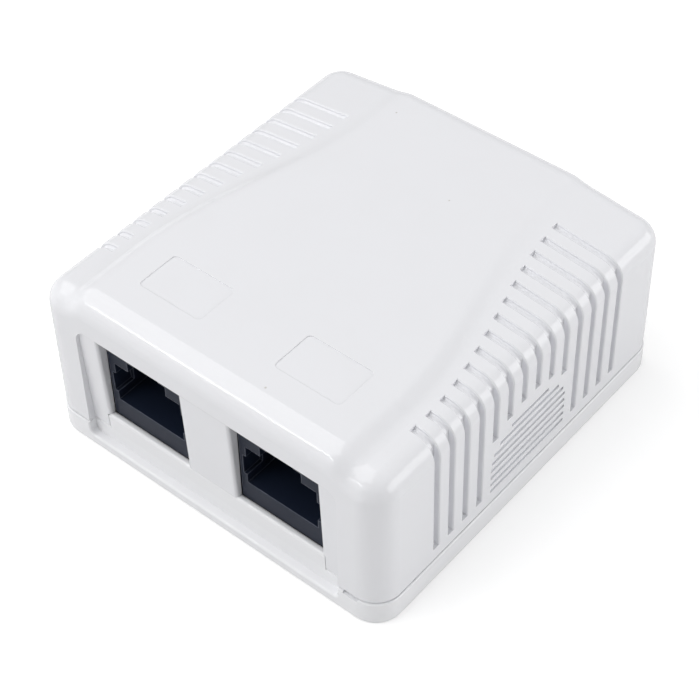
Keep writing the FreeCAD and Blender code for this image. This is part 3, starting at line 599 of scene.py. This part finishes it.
keep_finish("contact", plated_metal(
    "gold_plated_spring", colour=(0.93, 0.68, 0.28), below=(0.75, 0.72, 0.66),
    per_metre=4000.0, gloss=(0.16, 0.28)))
keep_finish("fork", plated_metal(
    "tin_plated_blade", colour=(0.76, 0.76, 0.77), below=(0.70, 0.55, 0.40),
    per_metre=5000.0, gloss=(0.25, 0.42)))
keep_finish("screw", plated_metal(
    "zinc_plated_screw", colour=(0.64, 0.65, 0.66), below=(0.50, 0.48, 0.46),
    per_metre=3500.0, gloss=(0.22, 0.38)))
keep_finish("ring", plated_metal(
    "tinned_copper_ring", colour=(0.78, 0.77, 0.74), below=(0.70, 0.50, 0.36),
    per_metre=5000.0, gloss=(0.2, 0.35)))

# %% [markdown]
# ### Circuit board
# The board is glass cloth under a green mask. The weave shows through faintly, about half a millimetre
# from thread to thread. Modelled threads would be hidden under the mask, so two crossed wave textures
# darken and lift the green a little. The tracks are copper under the same mask and look a lighter green.

# %% Board
WEAVE_PITCH = 0.55 * MM
WAVE_RATE = 20.0             # radians that the wave texture turns by for one unit of its scaled place
WEAVE_STRENGTH = 0.5


def solder_mask():
    material, shader = new_finish("green_solder_mask", (0.012, 0.13, 0.055))
    add_grain(material, shader, per_metre=5000.0, depth=0.15, edge=0.1 * MM, gloss=(0.22, 0.34))
    tree = material.node_tree
    waves = []
    for across in ("X", "Y"):
        wave = add_node(tree, "ShaderNodeTexWave", Vector=object_place(tree), Distortion=0.4,
                        Scale=2.0 * math.pi / (WAVE_RATE * WEAVE_PITCH))
        wave.bands_direction = across
        waves.append(wave.outputs["Fac"])
    weave = math_node(tree, "MULTIPLY", *waves)
    tint(material, shader, math_node(tree, "MULTIPLY", weave, WEAVE_STRENGTH), (0.03, 0.20, 0.09))
    add_dust(material, shader, amount=0.04)
    return material


def copper_under_mask():
    material, shader = new_finish("masked_copper_track", (0.03, 0.25, 0.10))
    add_grain(material, shader, per_metre=5000.0, depth=0.1, edge=0.05 * MM, gloss=(0.18, 0.3))
    add_dust(material, shader, amount=0.04)
    return material


keep_finish("board", solder_mask())
keep_finish("track", copper_under_mask())

# %% [markdown]
# ### Terminal plastic
# The wire terminals are an off-white flame resistant plastic, duller and warmer than the housing. It is
# made in the same way with coarser grain and more rubbing, because wires are pushed in with a tool.

# %% Terminal plastic


def terminal_plastic():
    material, shader = new_finish("ivory_terminal_plastic", (0.66, 0.65, 0.58))
    add_grain(material, shader, per_metre=2500.0, depth=0.35, edge=0.12 * MM, gloss=(0.4, 0.55))
    add_edge_wear_and_highlight(material, shader, reach=0.3 * MM, amount=0.4, colour=(0.78, 0.77, 0.72))
    add_dust(material, shader, amount=0.05)
    return material


keep_finish("terminal", terminal_plastic())

# %% [markdown]
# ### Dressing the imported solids
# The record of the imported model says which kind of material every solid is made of. One loop gives each
# its finish by that kind, and no solid can be forgotten. Only the tray has a finish of its own.

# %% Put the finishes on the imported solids
use_of = {part["node"]: part["material_slot"] for part in frame["record"]["subparts"]}
use_of["base_tray"] = "tray"
for name, node in nodes.items():
    for place in node.material_slots:
        place.material = finishes[use_of[name]]
print("finishes on", len(nodes), "pieces of the packed model")

# %% [markdown]
# ## Small repeated parts
# Inside sit sixteen contact springs, sixteen slit blades and the tracks and rings of the board. Each kind
# is one shape that repeats or follows a path, which is what Geometry Nodes are for. A tree is written
# once with named inputs for its sizes. A modifier runs it on a drawn line, and the result is turned into
# a plain mesh.

# %% Geometry Nodes helpers
GEOMETRY = "NodeSocketGeometry"
COUNT = "NodeSocketInt"
MATERIAL = "NodeSocketMaterial"


def new_tree(name, inputs):
    """A geometry tree: drawn geometry and named sizes go in, and geometry comes out."""
    sockets = {"Geometry": (GEOMETRY, None), **inputs}
    return new_group(name, sockets, {"Geometry": GEOMETRY}, "GeometryNodeTree")


def finish_tree(tree, given, gives, geometry):
    """Every tree ends in plain geometry with its finish."""
    real = add_node(tree, "GeometryNodeRealizeInstances", Geometry=geometry)
    paint = add_node(tree, "GeometryNodeSetMaterial", Geometry=real.outputs["Geometry"],
                     Material=given.outputs["Finish"])
    wire(tree, gives, Geometry=paint.outputs["Geometry"])
    tell(tree.name, tree)
    return tree


def rounded_corners(tree, curve, radius, points):
    """Rounds the corners of a curve with a number of points each."""
    fillet = tree.nodes.new("GeometryNodeFilletCurve")
    fillet.mode = "POLY"
    wire(tree, fillet, Curve=curve, Count=points, Radius=radius, Limit_Radius=True)
    return fillet.outputs["Curve"]


def drawn_lines(name, lines, closed=False):
    """A curve object of straight runs through the given points."""
    curve = bpy.data.curves.new(name, "CURVE")
    curve.dimensions = "3D"
    for points in lines:
        spline = curve.splines.new("POLY")
        spline.points.add(len(points) - 1)
        for target, point in zip(spline.points, points):
            target.co = (*point, 1.0)
        spline.use_cyclic_u = closed
    drawn = bpy.data.objects.new(name, curve)
    bpy.context.scene.collection.objects.link(drawn)
    return drawn


def make_with(name, tree, drawn, **sizes):
    """Runs a tree on a drawn line and keeps the result as a plain mesh piece."""
    modifier = drawn.modifiers.new(tree.name, "NODES")
    modifier.node_group = tree
    labels = {label.replace("_", " "): value for label, value in sizes.items()}
    for item in tree.interface.items_tree:
        if item.item_type == "SOCKET" and item.in_out == "INPUT" and item.name in labels:
            modifier[item.identifier] = labels.pop(item.name)
    if labels:
        raise ValueError(f"{tree.name} has no input named {sorted(labels)}")
    ready = drawn.evaluated_get(bpy.context.evaluated_depsgraph_get())
    mesh = bpy.data.meshes.new_from_object(ready)
    mesh.name = name
    drawn.modifiers.remove(modifier)
    bpy.data.objects.remove(drawn)
    piece = bpy.data.objects.new(name, mesh)
    bpy.context.scene.collection.objects.link(piece)
    return piece


def report(piece):
    """Prints a piece's box in millimetres, so that it can be set against the solids."""
    spots = [vertex.co for vertex in piece.data.vertices]
    low = [round(min(spot[i] for spot in spots) / MM, 2) for i in range(3)]
    high = [round(max(spot[i] for spot in spots) / MM, 2) for i in range(3)]
    print(piece.name, "from", low, "to", high, "with", len(piece.data.polygons), "faces")


# %% [markdown]
# ### Rows
# Springs, blades and rings all stand in rows. One helper group repeats whatever it gets in a row: it puts
# an instance on every point of a line of points. The trees below use it once or several times, and the
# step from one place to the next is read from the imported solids, so nothing is measured twice.

# %% Row group


def make_in_a_row():
    tree, given, gives = new_tree("in_a_row", {"Count": (COUNT, 2), "Step": (VECTOR, None)})
    line = tree.nodes.new("GeometryNodeMeshLine")
    line.mode = "OFFSET"
    wire(tree, line, Count=given.outputs["Count"], Offset=given.outputs["Step"])
    place = add_node(tree, "GeometryNodeInstanceOnPoints", Points=line.outputs["Mesh"],
                     Instance=given.outputs["Geometry"])
    wire(tree, gives, Geometry=place.outputs["Instances"])
    return tree


in_a_row = make_in_a_row()
tell("in_a_row", in_a_row)


def repeat(tree, geometry, count, step):
    """Adds one row to a tree."""
    row = tree.nodes.new("GeometryNodeGroup")
    row.node_tree = in_a_row
    wire(tree, row, Geometry=geometry, Count=count, Step=step)
    return row.outputs["Geometry"]


def step_between(first, second):
    """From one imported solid's low corner to another's."""
    return tuple(b - a for a, b in zip(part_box(first)[0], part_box(second)[0]))


# %% [markdown]
# ### Strips that follow a path
# The springs are flat wire, and so are the tracks of a board, seen closely enough. The tree rounds the
# corners of the drawn line, moves a small rectangle with rounded corners along it, and repeats the strip
# in a row. Bending a mesh would do it too, but a path with a section keeps the wire's thickness in every
# bend.

# %% Strip tree


def make_bent_strips():
    tree, given, gives = new_tree("bent_strips", {
        "Width": (FLOAT, 0.4 * MM), "Thickness": (FLOAT, 0.3 * MM), "Corner": (FLOAT, 0.05 * MM),
        "Bend radius": (FLOAT, 0.7 * MM), "Bend points": (COUNT, 6),
        "Count": (COUNT, 1), "Step": (VECTOR, None), "Rows": (COUNT, 1), "Row step": (VECTOR, None),
        "Finish": (MATERIAL, None)})
    path = rounded_corners(tree, given.outputs["Geometry"], given.outputs["Bend radius"],
                           given.outputs["Bend points"])
    section = add_node(tree, "GeometryNodeCurvePrimitiveQuadrilateral", Width=given.outputs["Width"],
                       Height=given.outputs["Thickness"])
    profile = rounded_corners(tree, section.outputs["Curve"], given.outputs["Corner"], 1)
    strip = add_node(tree, "GeometryNodeCurveToMesh", Curve=path, Profile_Curve=profile, Fill_Caps=True)
    row = repeat(tree, strip.outputs["Mesh"], given.outputs["Count"], given.outputs["Step"])
    rows = repeat(tree, row, given.outputs["Rows"], given.outputs["Row step"])
    return finish_tree(tree, given, gives, rows)


bent_strips = make_bent_strips()

# %% [markdown]
# ### Contact springs
# Each jack has eight gold plated springs side by side. A spring stands on the board, runs forward under
# the socket's floor, turns round and leans up and back, so that a plug presses it down. The packed
# springs have square edges. These have the same form with rounded wire edges: the line is drawn once,
# from a packed spring's own box, and the tree makes both sets of eight from it.

# %% Springs
SPRING_WIDTH = 0.45 * MM
SPRING_THICKNESS = 0.35 * MM
SPRING_CORNER = 0.06 * MM
SPRING_LEAN = math.radians(20.0)
SPRING_BEND_R = 0.9 * MM
SPRING_BED_RISE = 3.7 * MM
SPRING_TIP_SETBACK = 0.5 * MM
SPRING_LEG_BEND_R = 0.6 * MM
ARC_STEPS = 8
SPRINGS_A_JACK = 8
PORTS = ("left", "right")
spring_numbers = range(1, SPRINGS_A_JACK + 1)
spring_names = {port: [f"jack_contact_{port}_{i}" for i in spring_numbers] for port in PORTS}


def spring_line(node):
    """The first spring's middle line, from its foot on the board to its tip."""
    low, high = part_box(node)
    x = (low[0] + high[0]) / 2
    leg_y = high[1] - SPRING_THICKNESS / 2
    bed_z = low[2] + SPRING_BED_RISE
    # The turn at the front is drawn point by point, from the bottom of its circle up past the front
    centre_y = low[1] + SPRING_THICKNESS / 2 + SPRING_BEND_R
    centre_z = bed_z + SPRING_BEND_R
    arc = []
    for i in range(ARC_STEPS + 1):
        turn = -math.pi / 2 - i / ARC_STEPS * (math.pi - SPRING_LEAN)
        across = SPRING_BEND_R * math.cos(turn)
        arc.append((x, centre_y + across, centre_z + SPRING_BEND_R * math.sin(turn)))
    tip_y = leg_y - SPRING_TIP_SETBACK
    rise = (tip_y - arc[-1][1]) * math.tan(SPRING_LEAN)
    tip = (x, tip_y, arc[-1][2] + rise)
    return [(x, leg_y, low[2]), (x, leg_y, bed_z)] + arc + [tip]


springs = make_with(
    "contact_springs", bent_strips, drawn_lines("spring_line", [spring_line(spring_names["left"][0])]),
    Width=SPRING_WIDTH, Thickness=SPRING_THICKNESS, Corner=SPRING_CORNER,
    Bend_radius=SPRING_LEG_BEND_R, Bend_points=5,
    Count=SPRINGS_A_JACK, Step=step_between(spring_names["left"][0], spring_names["left"][1]),
    Rows=len(PORTS), Row_step=step_between(spring_names["left"][0], spring_names["right"][0]),
    Finish=finishes["contact"])
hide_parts(*spring_names["left"], *spring_names["right"])
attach(springs, "base")
report(springs)

# %% [markdown]
# ### How a slit blade is stamped
# A wire is pushed down between the two prongs of a blade, which cut through its insulation. Real blades
# are stamped from sheet, so the tree does the same: it fills the drawn outline, gives it the sheet's
# thickness, closes its back and stands it upright. Then it repeats it along the block, across the two
# blocks of a jack, and across the jacks.

# %% Blade tree
OUTLINE_POINTS = 2
WELD_DISTANCE = 0.001 * MM
UPRIGHT = (math.pi / 2, 0.0, math.pi / 2)


def make_stamped_blades():
    tree, given, gives = new_tree("stamped_blades", {
        "Thickness": (FLOAT, 0.5 * MM), "Tip rounding": (FLOAT, 0.1 * MM), "First place": (VECTOR, None),
        "Slots": (COUNT, 4), "Slot step": (VECTOR, None),
        "Blocks": (COUNT, 2), "Block step": (VECTOR, None),
        "Ports": (COUNT, 2), "Port step": (VECTOR, None), "Finish": (MATERIAL, None)})
    outline = rounded_corners(tree, given.outputs["Geometry"], given.outputs["Tip rounding"],
                              OUTLINE_POINTS)
    fill = tree.nodes.new("GeometryNodeFillCurve")
    fill.mode = "NGONS"
    wire(tree, fill, Curve=outline)
    thicken = add_node(tree, "GeometryNodeExtrudeMesh", Mesh=fill.outputs["Mesh"], Individual=False,
                       Offset_Scale=given.outputs["Thickness"])
    back = add_node(tree, "GeometryNodeFlipFaces", Mesh=fill.outputs["Mesh"])
    both = tree.nodes.new("GeometryNodeJoinGeometry")
    for side in (thicken, back):
        tree.links.new(side.outputs["Mesh"], both.inputs["Geometry"])
    weld = add_node(tree, "GeometryNodeMergeByDistance", Geometry=both.outputs["Geometry"],
                    Distance=WELD_DISTANCE)
    stand = add_node(tree, "GeometryNodeTransform", Geometry=weld.outputs["Geometry"],
                     Translation=given.outputs["First place"], Rotation=UPRIGHT)
    rows = stand.outputs["Geometry"]
    for count, step in (("Slots", "Slot step"), ("Blocks", "Block step"), ("Ports", "Port step")):
        rows = repeat(tree, rows, given.outputs[count], given.outputs[step])
    return finish_tree(tree, given, gives, rows)


stamped_blades = make_stamped_blades()

# %% [markdown]
# ### Slit blades
# The outline has two prongs whose inner corners flare, so that a wire finds the slit. Width, height,
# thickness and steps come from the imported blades, so the new ones stand in the same slots.

# %% Blades
BLADE_SLIT = 0.4 * MM
BLADE_SLIT_DEPTH = 4.5 * MM
BLADE_FLARE = 0.8 * MM
BLADE_TIP_R = 0.12 * MM
SLOTS_A_BLOCK = 4
BLOCKS = ("a", "b")
slots = range(1, SLOTS_A_BLOCK + 1)
blade_names = [f"terminal_fork_{port}_{block}{i}" for port in PORTS for block in BLOCKS for i in slots]


def blade_outline(width, height):
    """Outline of a blade, flat, as (across, up) points from the middle of its foot."""
    half = width / 2
    slit = BLADE_SLIT / 2
    low = height - BLADE_SLIT_DEPTH
    side = [(half, 0.0), (half, height), (slit + BLADE_FLARE, height),
            (slit, height - BLADE_FLARE), (slit, low)]
    return [(x, z, 0.0) for x, z in side] + [(-x, z, 0.0) for x, z in reversed(side)]


first_low, first_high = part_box("terminal_fork_left_a1")
thickness, width, height = (high - low for low, high in zip(first_low, first_high))
blades = make_with(
    "terminal_blades", stamped_blades,
    drawn_lines("blade_outline", [blade_outline(width, height)], closed=True),
    Thickness=thickness, Tip_rounding=BLADE_TIP_R,
    First_place=(first_low[0], (first_low[1] + first_high[1]) / 2, first_low[2]),
    Slots=SLOTS_A_BLOCK, Slot_step=step_between("terminal_fork_left_a1", "terminal_fork_left_a2"),
    Blocks=len(BLOCKS), Block_step=step_between("terminal_fork_left_a1", "terminal_fork_left_b1"),
    Ports=len(PORTS), Port_step=step_between("terminal_fork_left_a1", "terminal_fork_right_a1"),
    Finish=finishes["fork"])
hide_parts(*blade_names)
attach(blades, "base")
report(blades)

# %% [markdown]
# ### Tracks of the board
# Between each jack and its terminals run eight copper tracks under the green mask. Four turn left and
# four turn right: the outer ones reach the nearest slots and the inner ones run furthest back, so that
# none crosses another. They could be painted on, but real tracks stand up a little and catch light at
# their edges. Only the drawn lines differ; the strip tree from above turns them into flat copper.

# %% Tracks
TRACK_WIDTH = 0.34 * MM
TRACK_THICKNESS = 0.06 * MM
TRACK_CORNER = 0.01 * MM
TRACK_BEND_R = 0.8 * MM
TRACK_PITCH = 0.62 * MM
TRACK_UNDER_JACK = 0.5 * MM
TRACK_INTO_BLOCK = 0.2 * MM
LAYER_RISE = 0.25            # a layer's middle lies this share of its thickness above the board's top
board_low, board_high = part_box("circuit_board")


def track_lines(port):
    """Eight lines from the back of a jack to the slots of the terminal blocks beside it."""
    jack_low, jack_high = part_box(f"jack_housing_{port}")
    middle = (jack_low[0] + jack_high[0]) / 2
    start_y = jack_high[1] - TRACK_UNDER_JACK
    z = board_high[2] + TRACK_THICKNESS * LAYER_RISE
    lines = []
    for block, side in zip(BLOCKS, (-1, 1)):
        block_low, block_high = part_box(f"terminal_block_{port}_{block}")
        wall = block_high[0] if side < 0 else block_low[0]
        end_x = wall + side * TRACK_INTO_BLOCK
        for i in slots:
            blade_low, blade_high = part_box(f"terminal_fork_{port}_{block}{i}")
            slot_y = (blade_low[1] + blade_high[1]) / 2
            x = middle + side * (SLOTS_A_BLOCK + 0.5 - i) * TRACK_PITCH
            turn = abs(wall - x)
            lines.append([(x, start_y, z), (x, slot_y - turn, z), (end_x, slot_y, z)])
    return lines


tracks = make_with(
    "board_tracks", bent_strips, drawn_lines("track_lines", track_lines("left") + track_lines("right")),
    Width=TRACK_WIDTH, Thickness=TRACK_THICKNESS, Corner=TRACK_CORNER, Bend_radius=TRACK_BEND_R,
    Bend_points=4, Finish=finishes["track"])
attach(tracks, "base")
report(tracks)

# %% [markdown]
# ### Rings round the screws
# A tinned copper ring shows round the head of each screw of the board. The tree makes one ring by moving
# a flat rectangle round a circle and sets it at the four screws, in two rows. The line it runs on is only
# a seed, because the circle is made in the tree.

# %% Rings
RING_MIDDLE_R = 2.45 * MM
RING_WIDTH = 0.6 * MM
RING_THICKNESS = 0.08 * MM
RING_POINTS = 48
SCREWS_A_ROW = 2
SCREW_ROWS = 2
SCREW_HEAD_R = 2.1 * MM


def make_flat_rings():
    tree, given, gives = new_tree("flat_rings", {
        "Middle radius": (FLOAT, 2.0 * MM), "Width": (FLOAT, 0.5 * MM), "Thickness": (FLOAT, 0.1 * MM),
        "First place": (VECTOR, None), "Across step": (VECTOR, None), "Along step": (VECTOR, None),
        "Finish": (MATERIAL, None)})
    circle = add_node(tree, "GeometryNodeCurvePrimitiveCircle", Resolution=RING_POINTS,
                      Radius=given.outputs["Middle radius"])
    section = add_node(tree, "GeometryNodeCurvePrimitiveQuadrilateral", Width=given.outputs["Width"],
                       Height=given.outputs["Thickness"])
    ring = add_node(tree, "GeometryNodeCurveToMesh", Curve=circle.outputs["Curve"],
                    Profile_Curve=section.outputs["Curve"])
    put = add_node(tree, "GeometryNodeTransform", Geometry=ring.outputs["Mesh"],
                   Translation=given.outputs["First place"])
    row = repeat(tree, put.outputs["Geometry"], SCREWS_A_ROW, given.outputs["Across step"])
    rows = repeat(tree, row, SCREW_ROWS, given.outputs["Along step"])
    return finish_tree(tree, given, gives, rows)


screws_low, screws_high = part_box("board_screws")
screw_low = [screws_low[i] + SCREW_HEAD_R for i in range(2)]
screw_high = [screws_high[i] - SCREW_HEAD_R for i in range(2)]
rings = make_with(
    "screw_rings", make_flat_rings(), drawn_lines("ring_seed", [[(0.0, 0.0, 0.0), (MM, 0.0, 0.0)]]),
    Middle_radius=RING_MIDDLE_R, Width=RING_WIDTH, Thickness=RING_THICKNESS,
    First_place=(screw_low[0], screw_low[1], board_high[2] + RING_THICKNESS * LAYER_RISE),
    Across_step=(screw_high[0] - screw_low[0], 0.0, 0.0),
    Along_step=(0.0, screw_high[1] - screw_low[1], 0.0),
    Finish=finishes["ring"])
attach(rings, "base")
report(rings)

# %% [markdown]
# ## Colour view
# The last line sets the plain Standard view of colour for the render. The dressed model must keep to the
# solids' box, or it would no longer be the part that was packed.

# %% Finish
bpy.context.scene.view_settings.view_transform = "Standard"
